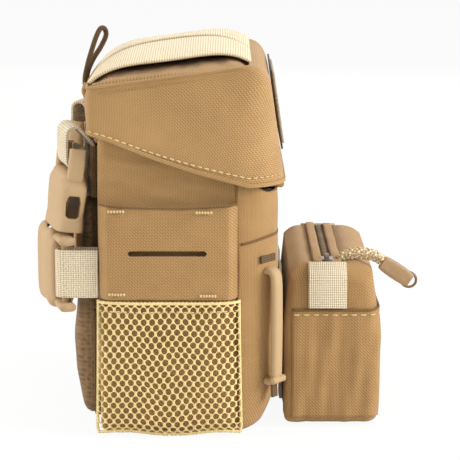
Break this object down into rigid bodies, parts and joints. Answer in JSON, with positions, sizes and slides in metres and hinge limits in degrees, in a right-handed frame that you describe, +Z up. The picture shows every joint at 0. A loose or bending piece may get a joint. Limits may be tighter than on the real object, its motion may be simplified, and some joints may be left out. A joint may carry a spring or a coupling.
{
  "type": "binocular harness pack",
  "caption": "Chest-worn fabric case for a binocular, with a forward-opening padded lid, side pockets, strap buckles and a clipped-on zipped pouch.",
  "frame": {"origin": "centre of the underside of the base panel's reference rectangle, on the surface that the pack stands on", "axes": "+Z up, +X away from the wearer, towards the pouch, +Y to the wearer's left"},
  "size_m": [0.2017, 0.1668, 0.2065],
  "materials": {
    "braided_cord": "braided cord",
    "dark_tape": "woven tape",
    "foam": "closed-cell foam sheet",
    "frame_plastic": "extruded sheet",
    "hex_net": "knitted hexagonal net",
    "loop_cord": "braided cord",
    "magnet_steel": "plated",
    "moulded_acetal": "moulded, satin",
    "moulded_grip": "moulded, satin",
    "pale_webbing": "woven webbing",
    "patch_field": "loop pile, bare",
    "ribbed_band": "ribbed elastic band",
    "shell_fabric": "woven nylon laminate, matt",
    "slider_metal": "painted, satin",
    "spacer_mesh": "knitted spacer mesh",
    "zip_coil": "woven tape with coil"
  },
  "bodies": {
    "pack": {"back_frame_sheet": "frame_plastic", "back_pad": "spacer_mesh", "back_panel": "shell_fabric", "base_foam": "foam", "base_panel": "shell_fabric", "body_magnet_left": "magnet_steel", "body_magnet_right": "magnet_steel", "clip_left": "moulded_acetal", "clip_right": "moulded_acetal", "front_foam": "foam", "front_panel": "shell_fabric", "front_webbing_lower": "pale_webbing", "front_webbing_upper": "pale_webbing", "lid_hinge_strip": "shell_fabric", "lower_strap_left": "pale_webbing", "lower_strap_right": "pale_webbing", "mesh_pocket_left": "hex_net", "mesh_pocket_right": "hex_net", "pocket_panel_left": "shell_fabric", "pocket_panel_right": "shell_fabric", "pouch_back": "shell_fabric", "pouch_base": "shell_fabric", "pouch_front": "shell_fabric", "pouch_front_pocket": "shell_fabric", "pouch_side_left": "shell_fabric", "pouch_side_pocket_left": "shell_fabric", "pouch_side_pocket_right": "shell_fabric", "pouch_side_right": "shell_fabric", "pouch_top_front": "shell_fabric", "pouch_top_rear": "shell_fabric", "pouch_webbing_lower": "pale_webbing", "pouch_webbing_upper": "pale_webbing", "side_foam_left": "foam", "side_foam_right": "foam", "side_panel_left": "shell_fabric", "side_panel_right": "shell_fabric", "strap_anchor_left": "dark_tape", "strap_anchor_right": "dark_tape", "upper_strap_left": "pale_webbing", "upper_strap_right": "pale_webbing", "zip_end_tab_left": "pale_webbing", "zip_end_tab_right": "pale_webbing", "zipper_chain": "zip_coil"},
    "lid": {"lid_back": "shell_fabric", "lid_foam": "foam", "lid_magnet_left": "magnet_steel", "lid_magnet_right": "magnet_steel", "lid_patch": "patch_field", "lid_skirt": "shell_fabric", "lid_top": "shell_fabric", "pull_loop": "loop_cord", "stash_band_left": "ribbed_band", "stash_band_right": "ribbed_band"},
    "upper_buckle_left": {"upper_buckle_left": "moulded_acetal"},
    "upper_buckle_right": {"upper_buckle_right": "moulded_acetal"},
    "lower_buckle_left": {"lower_buckle_left": "moulded_acetal"},
    "lower_buckle_right": {"lower_buckle_right": "moulded_acetal"},
    "zip_slider": {"zip_slider": "slider_metal"},
    "zip_pull": {"zip_pull_cord": "braided_cord", "zip_pull_tab": "moulded_grip"}
  },
  "joints": [
    {"name": "lid_hinge", "type": "hinge", "parent": "pack", "child": "lid", "pos_m": [0.0573, 0, 0.1309], "axis": [0, 1, 0], "range_deg": [0, 100]},
    {"name": "upper_buckle_swing_left", "type": "hinge", "parent": "pack", "child": "upper_buckle_left", "pos_m": [-0.0537, 0.053, 0.143], "axis": [0.2588, 0.9659, 0], "range_deg": [0, 65]},
    {"name": "upper_buckle_swing_right", "type": "hinge", "parent": "pack", "child": "upper_buckle_right", "pos_m": [-0.0537, -0.053, 0.143], "axis": [-0.2588, 0.9659, 0], "range_deg": [0, 65]},
    {"name": "lower_buckle_swing_left", "type": "hinge", "parent": "pack", "child": "lower_buckle_left", "pos_m": [-0.056, 0.0715, 0.086], "axis": [0, 0, -1], "range_deg": [0, 75]},
    {"name": "lower_buckle_swing_right", "type": "hinge", "parent": "pack", "child": "lower_buckle_right", "pos_m": [-0.056, -0.0715, 0.086], "axis": [0, 0, 1], "range_deg": [0, 75]},
    {"name": "zip_slide", "type": "slide", "parent": "pack", "child": "zip_slider", "axis": [0, 1, 0], "range_m": [0, 0.096]},
    {"name": "zip_pull_lift", "type": "hinge", "parent": "zip_slider", "child": "zip_pull", "pos_m": [0.0858, -0.048, 0.0885], "axis": [0, -1, 0], "range_deg": [0, 50]}
  ]
}
